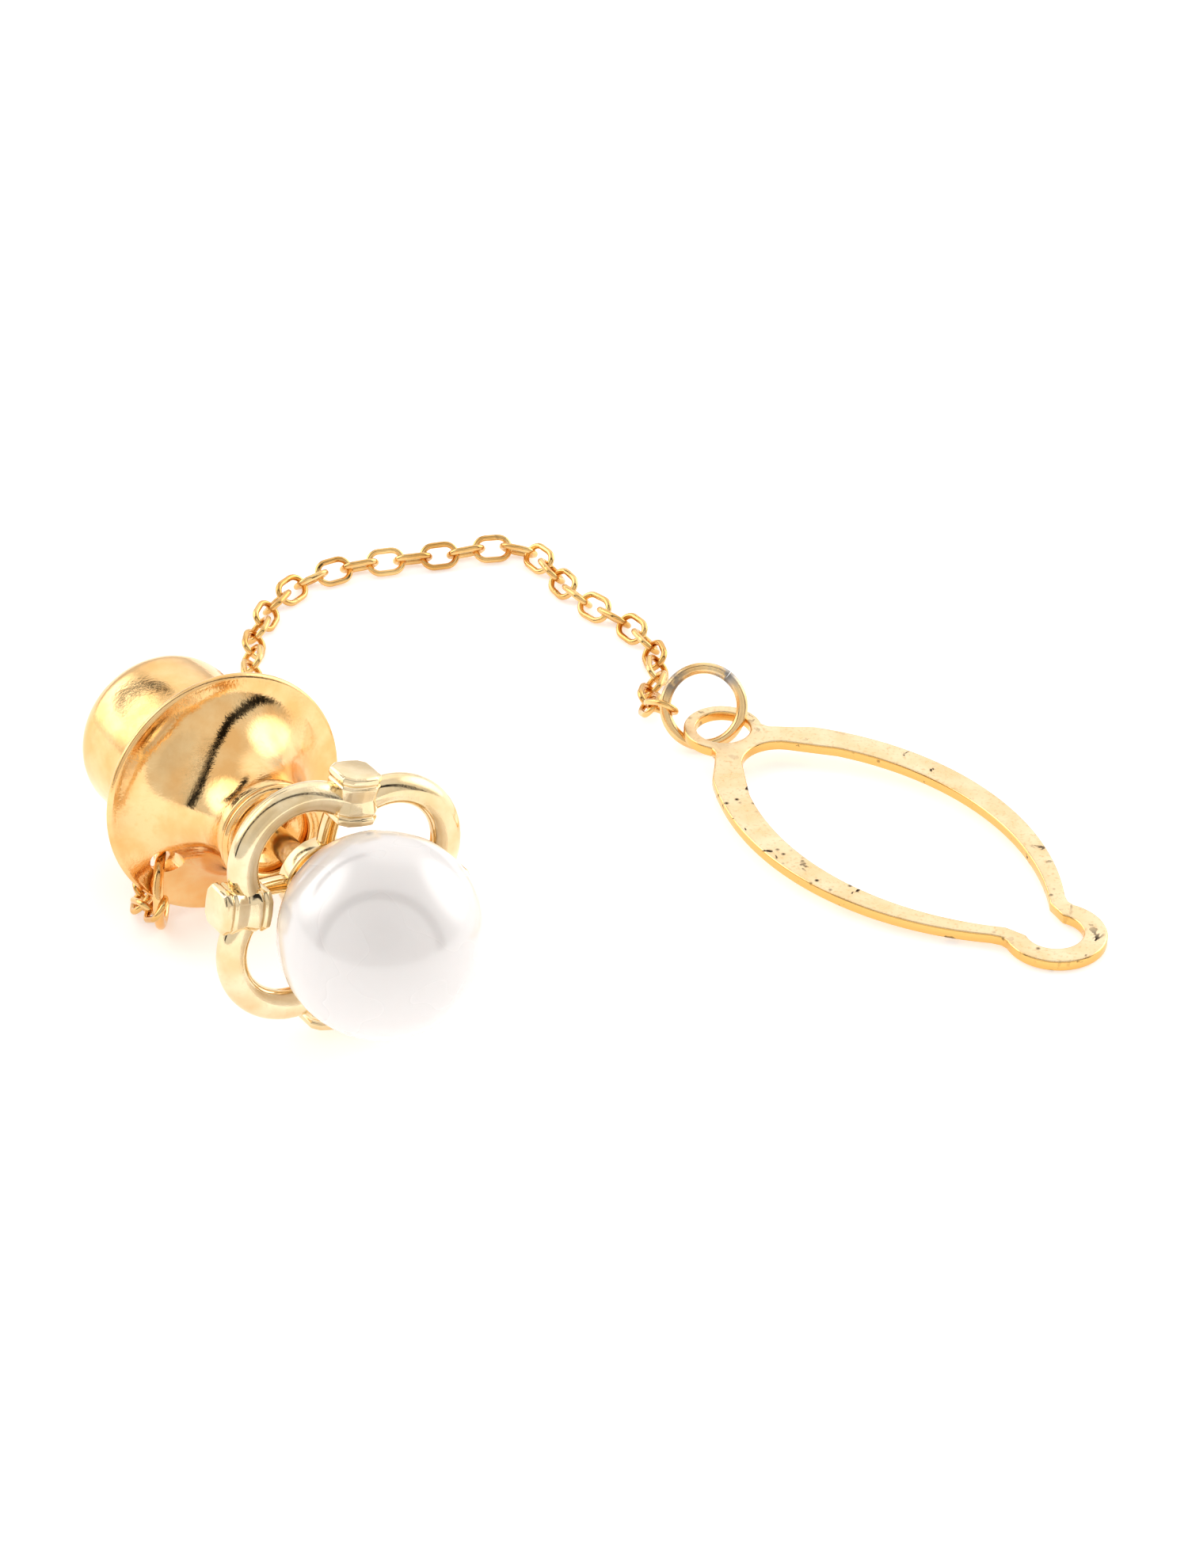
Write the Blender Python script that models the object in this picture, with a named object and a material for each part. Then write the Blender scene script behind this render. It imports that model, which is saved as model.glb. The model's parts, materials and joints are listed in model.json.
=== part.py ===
"""Pearl tie tack with its spring clutch, keeper chain and button loop, lying on a table.

The tack lies on its flange and its ornament. The keeper chain runs from a ring in the flange,
under the clutch and round to a flat loop that goes over a shirt button. Lengths are in
millimetres and are scaled to metres when each mesh is made. +Z is up from the table.
"""
import math

import bmesh
import bpy
import numpy as np
from mathutils import Matrix, Vector

MM = 0.001

# Where things lie on the table
LAYOUT_SHIFT = Vector((0.074, 2.652, -0.002))
FLANGE_CENTRE = Vector((-13.87, -7.84, 4.79))
TACK_HEADING = math.radians(-60.5)
TACK_TILT = math.radians(4.6)

# Clutch: distances along the axis are measured from the flange's rim towards the pearl
FLANGE_RADIUS = 4.80
FLANGE_THICKNESS = 0.36
HUB_RADIUS = 2.05
HUB_LENGTH = 3.95
FLARE_LENGTH = 3.50
BORE_RADIUS = 0.72
CAVITY_RADIUS = 1.95
SKIRT_RADIUS = 2.30
SKIRT_END = -3.20
HOLE_RADIUS = 0.55
HOLE_OFFSET = 3.36
HOLE_ANGLE = math.radians(214.0)
CAP_RADIUS = 3.30
CAP_WALL = 0.30
CAP_MOUTH = -0.75
CAP_MOUTH_RADIUS = 2.64
CAP_INSIDE_RADIUS = 2.40
CAP_SIDE_CENTRE = 0.62
CAP_WIDEST = -4.95
CAP_END = -7.02
COLLET_RADIUS = 1.05
COLLET_END = -6.50
WASHER_FRONT = -2.60
SPRING_TURNS = 3.5

# Tack head
PEARL_RADIUS = 3.80
PEARL_CENTRE = 12.75
PEARL_DRILLING = 0.42
FRAME_PLANE = 9.40
COLLAR_ANGLE = math.radians(78.4)
COLLAR_SIZE = (1.95, 1.62, 1.75)
COLLAR_DISTANCE = 4.08
COLLAR_BEVEL = 0.28
LOBE_OFFSET = 2.42
LOBE_RADIUS = 2.44
LOBE_SWEEP = 84.0
ARM_RADIUS = 0.36
ARM_COURSE = ((1.20, 7.95), (3.00, 8.20), (3.95, 8.95))
HEAD_HUB = (0.56, 1.60, 7.55, 8.35)
BAR_RADIUS = 0.57
POST_RADIUS = 0.50
POST_TIP = -2.90

# Keeper chain
LINK_COUNT = 47
LINK_WIRE = 0.26
LINK_WIDTH = 1.18
LINK_GAP = 0.035
LINK_LEAN = math.radians(45.0)
CHAIN_HEIGHT = 0.47

# Rings and button loop
CLUTCH_RING_RADIUS = 1.38
CLUTCH_RING_WIRE = 0.21
CLUTCH_RING_HEADING = math.radians(-92.0)
LARGE_RING_RADIUS = 1.50
LARGE_RING_WIRE = 0.235
LARGE_RING_LEAN = math.radians(33.0)
RING_GAP = 0.06
PLATE_THICKNESS = 0.44
EAR_RADIUS = 1.54
EAR_HOLE_RADIUS = 1.06
EAR_CENTRE = Vector((5.02, 2.40, 0.66))
PLATE_HEADING = math.radians(-47.4)
PLATE_LENGTH = 20.0
TIP_RADIUS = 1.95
TIP_CENTRE = (18.05, 0.0)
SIDE_CENTRE = (8.95, -7.00)
SIDE_RADIUS = 11.80
EYE_NEAR_CENTRE = (3.27, 0.0)
EYE_NEAR_RADIUS = 1.50
EYE_SIDE_CENTRE = (9.40, -7.65)
EYE_SIDE_RADIUS = 11.40
SLOT_CENTRE = (17.98, 0.0)
SLOT_RADIUS = 1.10

# The chain's course over the table, from the clutch ring to the large ring
CHAIN_ROUTE = (
    (-16.10, -11.15, 1.72), (-16.62, -10.20, 1.05), (-17.02, -9.20, 0.62),
    (-16.90, -7.80, CHAIN_HEIGHT), (-15.90, -5.00, CHAIN_HEIGHT),
    (-14.60, -2.00, CHAIN_HEIGHT), (-13.75, 1.50, CHAIN_HEIGHT),
    (-13.45, 5.00, CHAIN_HEIGHT), (-13.60, 8.50, CHAIN_HEIGHT),
    (-13.50, 10.20, CHAIN_HEIGHT), (-12.85, 12.60, CHAIN_HEIGHT),
    (-11.60, 14.40, CHAIN_HEIGHT), (-9.90, 15.45, CHAIN_HEIGHT),
    (-8.10, 15.95, CHAIN_HEIGHT), (-6.00, 16.40, CHAIN_HEIGHT),
    (-3.90, 17.00, CHAIN_HEIGHT), (-2.35, 16.40, CHAIN_HEIGHT),
    (-1.50, 14.60, CHAIN_HEIGHT), (-0.35, 12.70, CHAIN_HEIGHT),
    (1.15, 11.20, CHAIN_HEIGHT), (2.15, 9.60, CHAIN_HEIGHT),
    (2.55, 7.90, CHAIN_HEIGHT), (2.42, 6.60, CHAIN_HEIGHT),
    (2.18, 5.55, 0.50), (2.10, 4.68, 0.72), (2.38, 3.70, 1.20), (2.94, 3.05, 1.58),
)

SMOOTH_ANGLE = math.radians(38.0)


def metal(name, colour, roughness):
    """A polished or worn metal."""
    material = bpy.data.materials.new(name)
    material.use_nodes = True
    shader = material.node_tree.nodes["Principled BSDF"]
    shader.inputs["Base Color"].default_value = (*colour, 1.0)
    shader.inputs["Roughness"].default_value = roughness
    shader.inputs["Metallic"].default_value = 1.0
    return material


def pearl_lustre():
    """White nacre, glossy and not metallic."""
    material = bpy.data.materials.new("pearl_lustre")
    material.use_nodes = True
    shader = material.node_tree.nodes["Principled BSDF"]
    shader.inputs["Base Color"].default_value = (0.87, 0.84, 0.81, 1.0)
    shader.inputs["Roughness"].default_value = 0.25
    shader.inputs["Metallic"].default_value = 0.0
    return material


def finish_mesh(bm, name):
    """Scales a mesh from millimetres to metres, faces it outwards and shades it smooth."""
    bmesh.ops.scale(bm, vec=(MM, MM, MM), verts=bm.verts)
    bmesh.ops.recalc_face_normals(bm, faces=bm.faces)
    mesh = bpy.data.meshes.new(name)
    bm.to_mesh(mesh)
    bm.free()
    mesh.shade_smooth()
    mesh.set_sharp_from_angle(angle=SMOOTH_ANGLE)
    return mesh


def place(name, mesh, material, parent=None, matrix=None):
    """Adds an object, with its mesh's own material or the one given."""
    piece = bpy.data.objects.new(name, mesh)
    bpy.context.scene.collection.objects.link(piece)
    if not mesh.materials:
        mesh.materials.append(material)
    piece.parent = parent
    if matrix is not None:
        piece.matrix_local = matrix
    return piece


def make_empty(name, matrix):
    """An empty that carries the pieces of one assembly."""
    empty = bpy.data.objects.new(name, None)
    bpy.context.scene.collection.objects.link(empty)
    empty.matrix_world = matrix
    return empty


def in_metres(matrix):
    """The same placement with its translation turned from millimetres to metres."""
    scaled = matrix.copy()
    scaled.translation = matrix.translation * MM
    return scaled


def turned(profile, segments, closed):
    """A lathe-turned solid about Z from (radius, height) points.

    A closed profile comes back to its first point. An open one starts and ends on the axis.
    """
    bm = bmesh.new()
    rings = []
    for radius, height in profile:
        if radius < 1e-6:
            rings.append([bm.verts.new((0.0, 0.0, height))])
            continue
        turn = [2 * math.pi * i / segments for i in range(segments)]
        rings.append([bm.verts.new((radius * math.cos(t), radius * math.sin(t), height)) for t in turn])
    pairs = list(zip(rings, rings[1:]))
    if closed:
        pairs.append((rings[-1], rings[0]))
    for lower, upper in pairs:
        if len(lower) == 1 and len(upper) == 1:
            continue
        for i in range(segments):
            j = (i + 1) % segments
            corners = [lower[i % len(lower)], lower[j % len(lower)], upper[j % len(upper)], upper[i % len(upper)]]
            face = list(dict.fromkeys(corners))
            bm.faces.new(face)
    return bm


def arc_points(centre, radii, start, end, steps):
    """Points on an elliptical arc, start and end included, with angles in degrees."""
    points = []
    for i in range(steps + 1):
        angle = math.radians(start + (end - start) * i / steps)
        points.append((centre[0] + radii[0] * math.cos(angle), centre[1] + radii[1] * math.sin(angle)))
    return points


def swept(path, radius, sides, closed):
    """A round bar along 3-D points, closed on itself or capped at both ends."""
    bm = bmesh.new()
    count = len(path)
    path = [Vector(p) for p in path]
    rings = []
    normal = None
    for i, point in enumerate(path):
        before = path[i - 1] if (closed or i > 0) else point
        after = path[(i + 1) % count] if (closed or i < count - 1) else point
        along = (after - before).normalized()
        if normal is None:
            normal = along.orthogonal().normalized()
        normal = (normal - along * normal.dot(along)).normalized()
        side = along.cross(normal)
        turn = [2 * math.pi * k / sides for k in range(sides)]
        rings.append([bm.verts.new(point + radius * (math.cos(t) * normal + math.sin(t) * side)) for t in turn])
    pairs = list(zip(rings, rings[1:]))
    if closed:
        pairs.append((rings[-1], rings[0]))
    for first, second in pairs:
        for k in range(sides):
            j = (k + 1) % sides
            bm.faces.new((first[k], first[j], second[j], second[k]))
    if not closed:
        bm.faces.new(rings[0][::-1])
        bm.faces.new(rings[-1])
    return bm


def cut_or_join(piece, others, operation):
    """Applies exact Booleans to a piece and removes the helper objects."""
    for other in others:
        step = piece.modifiers.new("solid", "BOOLEAN")
        step.operation = operation
        step.solver = "EXACT"
        step.object = other
        bpy.context.view_layer.update()
        evaluated = piece.evaluated_get(bpy.context.evaluated_depsgraph_get())
        mesh = bpy.data.meshes.new_from_object(evaluated)
        piece.modifiers.clear()
        piece.data = mesh
        bpy.data.objects.remove(other)
    piece.data.shade_smooth()
    piece.data.set_sharp_from_angle(angle=SMOOTH_ANGLE)


# --- Clutch -------------------------------------------------------------------------------


def flare_profile():
    """The hub's outer side, from its mouth down a trumpet curve to the flange's rim."""
    edge = FLANGE_THICKNESS / 2
    curve = arc_points(
        (FLANGE_RADIUS - edge, FLARE_LENGTH),
        (FLANGE_RADIUS - edge - HUB_RADIUS, FLARE_LENGTH - edge),
        180.0, 270.0, 7,
    )
    rim = arc_points((FLANGE_RADIUS - edge, 0.0), (edge, edge), 90.0, -90.0, 4)
    return [(HUB_RADIUS - 0.10, HUB_LENGTH), (HUB_RADIUS, HUB_LENGTH - 0.12)] + curve + rim[1:]


def make_clutch_housing(tack, gold):
    """Flange, hub and skirt in one shell, with the post's bore and the keeper ring's hole."""
    profile = flare_profile() + [
        (SKIRT_RADIUS, -FLANGE_THICKNESS / 2), (SKIRT_RADIUS, SKIRT_END),
        (CAVITY_RADIUS, SKIRT_END), (CAVITY_RADIUS, 0.30),
        (BORE_RADIUS, 0.90), (BORE_RADIUS, HUB_LENGTH - 0.45), (1.15, HUB_LENGTH),
    ]
    housing = place("clutch_housing", finish_mesh(turned(profile, 44, True), "clutch_housing"), gold, tack)
    hole = Vector((HOLE_OFFSET * math.cos(HOLE_ANGLE), HOLE_OFFSET * math.sin(HOLE_ANGLE), 0.0))
    cutter = place("ring_hole", finish_mesh(drill(HOLE_RADIUS, 4.0, 20), "ring_hole"), gold, tack,
                   in_metres(Matrix.Translation(hole)))
    cut_or_join(housing, [cutter], "DIFFERENCE")


def drill(radius, length, segments):
    """A cylinder about Z, centred on the origin."""
    bm = bmesh.new()
    bmesh.ops.create_cone(
        bm, cap_ends=True, segments=segments, radius1=radius, radius2=radius, depth=length)
    return bm


def make_mouth_ring(tack, gold):
    """The rolled lip on the hub's mouth."""
    section = arc_points((1.78, HUB_LENGTH + 0.24), (0.34, 0.21), 0.0, 300.0, 5)
    place("mouth_ring", finish_mesh(turned(section, 32, True), "mouth_ring"), gold, tack)


def make_clutch_cap(tack, gold):
    """The rounded cap that is pulled back to free the post."""
    middle = CAP_SIDE_CENTRE
    angle = math.acos((CAP_MOUTH_RADIUS - middle) / (CAP_RADIUS - middle))
    rise = (CAP_MOUTH - CAP_WIDEST) / math.sin(angle)
    side = arc_points((middle, CAP_WIDEST), (CAP_RADIUS - middle, rise), math.degrees(angle), 0.0, 4)
    end = arc_points((0.0, CAP_WIDEST), (CAP_RADIUS, CAP_WIDEST - CAP_END), 0.0, -90.0, 6)
    outer = side + end[1:]
    inner_end = arc_points((0.0, CAP_WIDEST), (CAP_RADIUS - CAP_WALL, CAP_WIDEST - CAP_END - CAP_WALL), -90.0, 0.0, 4)
    inner = inner_end + [(CAP_INSIDE_RADIUS, CAP_MOUTH - 0.60), (CAP_INSIDE_RADIUS, CAP_MOUTH)]
    place("clutch_cap", finish_mesh(turned(outer + inner, 36, True), "clutch_cap"), gold, tack)


def make_clutch_insides(tack, gold, steel):
    """The slotted collet that grips the post, the spring that closes it and the spring's washer."""
    bore = POST_RADIUS + 0.08
    collet = [
        (bore, 0.20), (1.15, 0.20), (1.80, -0.55), (1.80, -0.95), (COLLET_RADIUS, -0.95),
        (COLLET_RADIUS, COLLET_END), (bore, COLLET_END),
    ]
    jaws = place("locking_collet", finish_mesh(turned(collet, 24, True), "locking_collet"), steel, tack)
    slots = []
    for number in range(2):
        bm = bmesh.new()
        bmesh.ops.create_cube(bm, size=1.0)
        bmesh.ops.scale(bm, vec=(4.4, 0.16, 3.6), verts=bm.verts)
        turn = Matrix.Rotation(number * math.pi / 2, 4, "Z")
        slots.append(place(f"collet_slot_{number}", finish_mesh(bm, "collet_slot"), steel, tack, turn))
    cut_or_join(jaws, slots, "DIFFERENCE")

    washer = [(COLLET_RADIUS + 0.08, WASHER_FRONT), (CAVITY_RADIUS - 0.07, WASHER_FRONT),
              (CAVITY_RADIUS - 0.07, -2.95), (COLLET_RADIUS + 0.08, -2.95)]
    place("retaining_washer", finish_mesh(turned(washer, 24, True), "retaining_washer"), steel, tack)

    wire, mean = 0.13, 1.45
    steps = round(SPRING_TURNS * 12)
    low, high = WASHER_FRONT + wire + 0.05, -0.95 - wire - 0.05
    coil = []
    for i in range(steps + 1):
        angle = 2 * math.pi * SPRING_TURNS * i / steps
        coil.append((mean * math.cos(angle), mean * math.sin(angle), low + (high - low) * i / steps))
    place("collet_spring", finish_mesh(swept(coil, wire, 5, False), "collet_spring"), steel, tack)


# --- Tack head ----------------------------------------------------------------------------


def make_pearl(tack, lustre):
    """The pearl, drilled at the back for its peg."""
    reach = math.degrees(math.asin(PEARL_DRILLING / PEARL_RADIUS))
    skin = arc_points((0.0, PEARL_CENTRE), (PEARL_RADIUS, PEARL_RADIUS), 90.0, -90.0 + reach, 15)
    skin[0] = (0.0, PEARL_CENTRE + PEARL_RADIUS)
    depth = PEARL_CENTRE - 1.2
    profile = skin + [(PEARL_DRILLING, depth), (0.0, depth)]
    place("pearl", finish_mesh(turned(profile, 30, False), "pearl"), lustre, tack)


def make_pearl_cup(tack, gold):
    """The dished seat behind the pearl and the peg that is glued into it."""
    peg = PEARL_DRILLING - 0.06
    seat_radius = PEARL_RADIUS + 0.05
    dish = []
    for degrees in (6.5, 14.0, 22.0, 30.0):
        angle = math.radians(-90.0 + degrees)
        dish.append((seat_radius * math.cos(angle), PEARL_CENTRE + seat_radius * math.sin(angle)))
    rim = dish[-1]
    back = FRAME_PLANE - 0.66
    profile = [(0.0, PEARL_CENTRE - 1.3), (peg, PEARL_CENTRE - 1.3)] + dish
    profile += [(rim[0] + 0.12, rim[1] - 0.10), (1.10, back + 0.05), (0.0, back + 0.05)]
    place("pearl_cup", finish_mesh(turned(profile, 24, False), "pearl_cup"), gold, tack)


def make_collar(name, angle):
    """A bevelled block that clasps the frame where two lobes meet."""
    bm = bmesh.new()
    bmesh.ops.create_cube(bm, size=1.0)
    bmesh.ops.scale(bm, vec=COLLAR_SIZE, verts=bm.verts)
    bmesh.ops.bevel(bm, geom=bm.edges[:], offset=COLLAR_BEVEL, segments=1, affect="EDGES", profile=0.5)
    turn = Matrix.Rotation(angle, 4, "Z") @ Matrix.Translation((COLLAR_DISTANCE, 0.0, FRAME_PLANE))
    bmesh.ops.transform(bm, matrix=turn, verts=bm.verts)
    return place(name, finish_mesh(bm, name), None)


def make_ornament(tack, gold):
    """The cast quatrefoil frame: four arched bars, four collars, four arms and a hub."""
    inner, outer, back, front = HEAD_HUB
    hub = turned([(inner, back), (outer, back), (outer, front), (inner, front)], 24, True)
    frame = place("ornament_frame", finish_mesh(hub, "ornament_frame"), gold)
    helpers = []
    for quarter in range(4):
        angle = COLLAR_ANGLE + quarter * math.pi / 2
        middle = angle + math.pi / 4
        centre = Vector((LOBE_OFFSET * math.cos(middle), LOBE_OFFSET * math.sin(middle), FRAME_PLANE))
        bar = []
        for step in range(13):
            swing = middle + math.radians(LOBE_SWEEP * (step / 6 - 1))
            bar.append(centre + LOBE_RADIUS * Vector((math.cos(swing), math.sin(swing), 0.0)))
        helpers.append(place(f"lobe_{quarter}", finish_mesh(swept(bar, BAR_RADIUS, 10, False), "lobe"), None))
        helpers.append(make_collar(f"collar_{quarter}", angle))
        outwards = Vector((math.cos(angle), math.sin(angle), 0.0))
        arm = [outwards * reach + Vector((0, 0, height)) for reach, height in ARM_COURSE]
        helpers.append(place(f"arm_{quarter}", finish_mesh(swept(arm, ARM_RADIUS, 6, False), "arm"), None))
    cut_or_join(frame, helpers, "UNION")
    frame.data.materials.clear()
    frame.data.materials.append(gold)
    frame.parent = tack


def make_post(tack, gold):
    """The pointed pin with its two gripping grooves."""
    profile = [(0.0, 8.30), (POST_RADIUS, 8.30), (POST_RADIUS, -0.10), (0.38, -0.25), (0.38, -0.45),
               (POST_RADIUS, -0.60), (POST_RADIUS, -1.05), (0.38, -1.20), (0.38, -1.40),
               (POST_RADIUS, -1.55), (0.42, -1.90), (0.0, POST_TIP)]
    place("tack_post", finish_mesh(turned(profile, 20, False), "tack_post"), gold, tack)


# --- Chain, rings and loop ----------------------------------------------------------------


def smooth_course(points, steps=12):
    """A Catmull-Rom curve through the route's points."""
    points = [Vector(p) for p in points]
    ends = [2 * points[0] - points[1]] + points + [2 * points[-1] - points[-2]]
    course = [points[0]]
    for a, b, c, d in zip(ends, ends[1:], ends[2:], ends[3:]):
        for i in range(1, steps + 1):
            t = i / steps
            course.append(0.5 * (2 * b + (c - a) * t + (2 * a - 5 * b + 4 * c - d) * t * t
                                 + (3 * b - a - 3 * c + d) * t ** 3))
    return course


def stride_along(course, stride, count):
    """Points a fixed distance apart along the course, and how far it still is to the course's end."""
    found = [course[0]]
    segment = 0
    here = course[0]
    while len(found) <= count and segment < len(course) - 1:
        ahead = course[segment + 1]
        if (ahead - found[-1]).length < stride:
            segment += 1
            here = ahead
            continue
        low, high = 0.0, 1.0
        for _ in range(40):
            middle = (low + high) / 2
            if (here.lerp(ahead, middle) - found[-1]).length < stride:
                low = middle
            else:
                high = middle
        here = here.lerp(ahead, high)
        found.append(here)
    return found, (course[-1] - found[-1]).length if len(found) > count else -1.0


def chain_joints():
    """The point where each link hooks into the next, an equal pitch apart."""
    course = smooth_course(CHAIN_ROUTE)
    low, high = 0.6, 1.6
    for _ in range(50):
        middle = (low + high) / 2
        if stride_along(course, middle, LINK_COUNT)[1] < 0:
            high = middle
        else:
            low = middle
    return stride_along(course, low, LINK_COUNT)[0], low


def link_mesh(pitch):
    """One oval link in the XZ plane, with its first hooking point at the origin."""
    half = LINK_WIDTH / 2 - LINK_WIRE / 2
    overlap = (LINK_WIRE + LINK_GAP) / 2
    near, far = -overlap + half, pitch + overlap - half
    path = []
    for i in range(7):
        angle = math.pi / 2 + math.pi * i / 6
        path.append((near + half * math.cos(angle), 0.0, half * math.sin(angle)))
    for i in range(7):
        angle = -math.pi / 2 + math.pi * i / 6
        path.append((far + half * math.cos(angle), 0.0, half * math.sin(angle)))
    return finish_mesh(swept(path, LINK_WIRE / 2, 6, True), "chain_link")


def link_placement(start, end, number):
    """Puts a link between two hooking points, leaning alternately left and right."""
    along = (end - start).normalized()
    side = Vector((0, 0, 1)).cross(along).normalized()
    up = along.cross(side)
    lean = LINK_LEAN if number % 2 else -LINK_LEAN
    across = math.cos(lean) * up + math.sin(lean) * side
    normal = across.cross(along)
    turn = Matrix((along, normal, across)).transposed().to_4x4()
    turn.translation = start
    return turn


def make_chain(layout, gold):
    """Oval links, each hooked into the one before."""
    joints, pitch = chain_joints()
    mesh = link_mesh(pitch)
    for number in range(LINK_COUNT):
        matrix = link_placement(joints[number], joints[number + 1], number)
        place(f"chain_link_{number + 1:02d}", mesh, gold, layout, in_metres(matrix))
    return joints


def ring_mesh(radius, wire, name):
    """A round ring about Y."""
    path = []
    for i in range(22):
        angle = 2 * math.pi * i / 22
        path.append((radius * math.cos(angle), 0.0, radius * math.sin(angle)))
    return finish_mesh(swept(path, wire, 6, True), name)


def make_clutch_ring(layout, gold, joints):
    """The ring through the flange, which stands in front of and behind it."""
    along = (joints[1] - joints[0]).normalized()
    reach = CLUTCH_RING_WIRE + RING_GAP
    wire = joints[0] + along * reach
    outwards = Vector((math.cos(CLUTCH_RING_HEADING), math.sin(CLUTCH_RING_HEADING), 0.0))
    centre = wire - outwards * CLUTCH_RING_RADIUS
    across = Vector((0, 0, 1)).cross(outwards)
    turn = Matrix((outwards, across, Vector((0, 0, 1)))).transposed().to_4x4()
    turn.translation = centre
    mesh = ring_mesh(CLUTCH_RING_RADIUS, CLUTCH_RING_WIRE, "clutch_ring")
    place("clutch_ring", mesh, gold, layout, in_metres(turn))


def make_large_ring(layout, gold, joints):
    """The jump ring that leans back through the loop's ear."""
    along = (joints[-1] - joints[-2]).normalized()
    reach = LARGE_RING_WIRE + RING_GAP - LINK_GAP / 2
    wire = joints[-1] - along * reach
    centre = wire + Vector((LARGE_RING_RADIUS, 0.0, 0.0))
    centre.z = LARGE_RING_RADIUS * math.cos(LARGE_RING_LEAN) + LARGE_RING_WIRE
    turn = Matrix.Translation(centre) @ Matrix.Rotation(-LARGE_RING_LEAN, 4, "X")
    mesh = ring_mesh(LARGE_RING_RADIUS, LARGE_RING_WIRE, "large_ring")
    place("large_ring", mesh, gold, layout, in_metres(turn))


def mirrored(upper):
    """A closed outline from its upper half, which runs from the ear towards the tip."""
    return upper + [(x, -y) for x, y in reversed(upper) if y > 1e-6]


def loop_outline():
    """The loop's outer edge: a round ear, two long arcs, notches by the ear and the tip, and a round tip."""
    ear = arc_points((0.0, 0.0), (EAR_RADIUS, EAR_RADIUS), 180.0, 60.0, 7)
    neck = [(1.06, 1.42), (1.60, 1.98)]
    side = arc_points(SIDE_CENTRE, (SIDE_RADIUS, SIDE_RADIUS), 124.5, 49.6, 13)
    notch = [(16.96, 1.79)]
    tip = arc_points(TIP_CENTRE, (TIP_RADIUS, TIP_RADIUS), 114.0, 0.0, 7)
    return mirrored(ear + neck + side + notch + tip)


def eye_outline():
    """The loop's eye, a pointed oval that narrows to a round slot inside the tip."""
    near = arc_points(EYE_NEAR_CENTRE, (EYE_NEAR_RADIUS, EYE_NEAR_RADIUS), 180.0, 128.0, 4)
    side = arc_points(EYE_SIDE_CENTRE, (EYE_SIDE_RADIUS, EYE_SIDE_RADIUS), 118.5, 50.8, 12)
    slot = arc_points(SLOT_CENTRE, (SLOT_RADIUS, SLOT_RADIUS), 117.0, 0.0, 6)
    return mirrored(near + side + slot)


def plate_from(outline, name, low, high):
    """An upright prism with the given outline."""
    bm = bmesh.new()
    bottom = [bm.verts.new((x, y, low)) for x, y in outline]
    face = bm.faces.new(bottom)
    grown = bmesh.ops.extrude_face_region(bm, geom=[face])
    top = [v for v in grown["geom"] if isinstance(v, bmesh.types.BMVert)]
    bmesh.ops.translate(bm, vec=(0, 0, high - low), verts=top)
    return finish_mesh(bm, name)


def make_button_loop(layout, gold):
    """The flat loop with its ear at one end and a round bulge at the other."""
    slope = math.asin((EAR_CENTRE.z - 0.01) / PLATE_LENGTH)
    turn = Matrix.Translation(EAR_CENTRE) @ Matrix.Rotation(PLATE_HEADING, 4, "Z") @ Matrix.Rotation(slope, 4, "Y")
    loop = place("button_loop", plate_from(loop_outline(), "button_loop", 0.0, PLATE_THICKNESS), gold)
    hole_rim = arc_points((0.0, 0.0), (EAR_HOLE_RADIUS, EAR_HOLE_RADIUS), 0.0, 345.0, 23)
    hole = place("ear_hole", plate_from(hole_rim, "ear_hole", -1.0, 2.0), gold)
    eye = place("eye", plate_from(eye_outline(), "eye", -1.0, 2.0), gold)
    cut_or_join(loop, [hole, eye], "DIFFERENCE")
    loop.parent = layout
    loop.matrix_local = in_metres(turn)


def main():
    for old in list(bpy.data.objects):
        bpy.data.objects.remove(old)
    clutch_gold = metal("clutch_gold", (0.83, 0.55, 0.22), 0.12)
    frame_gold = metal("frame_gold", (0.78, 0.64, 0.33), 0.15)
    chain_gold = metal("chain_gold", (0.84, 0.60, 0.27), 0.18)
    loop_gold = metal("loop_gold", (0.86, 0.68, 0.38), 0.30)
    spring_steel = metal("spring_steel", (0.55, 0.55, 0.56), 0.30)
    lustre = pearl_lustre()

    layout = make_empty("layout", in_metres(Matrix.Translation(LAYOUT_SHIFT)))
    axis = Vector((math.cos(TACK_TILT) * math.cos(TACK_HEADING),
                   math.cos(TACK_TILT) * math.sin(TACK_HEADING), math.sin(TACK_TILT)))
    across = Vector((0, 0, 1)).cross(axis).normalized()
    turn = Matrix((across, axis.cross(across), axis)).transposed().to_4x4()
    turn.translation = LAYOUT_SHIFT + FLANGE_CENTRE
    tack = make_empty("tack", in_metres(turn))

    make_clutch_housing(tack, clutch_gold)
    make_mouth_ring(tack, clutch_gold)
    make_clutch_cap(tack, clutch_gold)
    make_clutch_insides(tack, clutch_gold, spring_steel)
    make_pearl(tack, lustre)
    make_pearl_cup(tack, frame_gold)
    make_ornament(tack, frame_gold)
    make_post(tack, frame_gold)
    joints = make_chain(layout, chain_gold)
    make_clutch_ring(layout, clutch_gold, joints)
    make_large_ring(layout, chain_gold, joints)
    make_button_loop(layout, loop_gold)
    bpy.context.view_layer.update()


main()
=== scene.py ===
"""The looks of the pearl tie tack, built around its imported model.

Shapes are drawn in millimetres in the frame of their assembly and scaled to metres when each mesh
is made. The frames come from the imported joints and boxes.
"""
import json
import math

import bmesh
import bpy
from mathutils import Matrix, Vector


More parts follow.
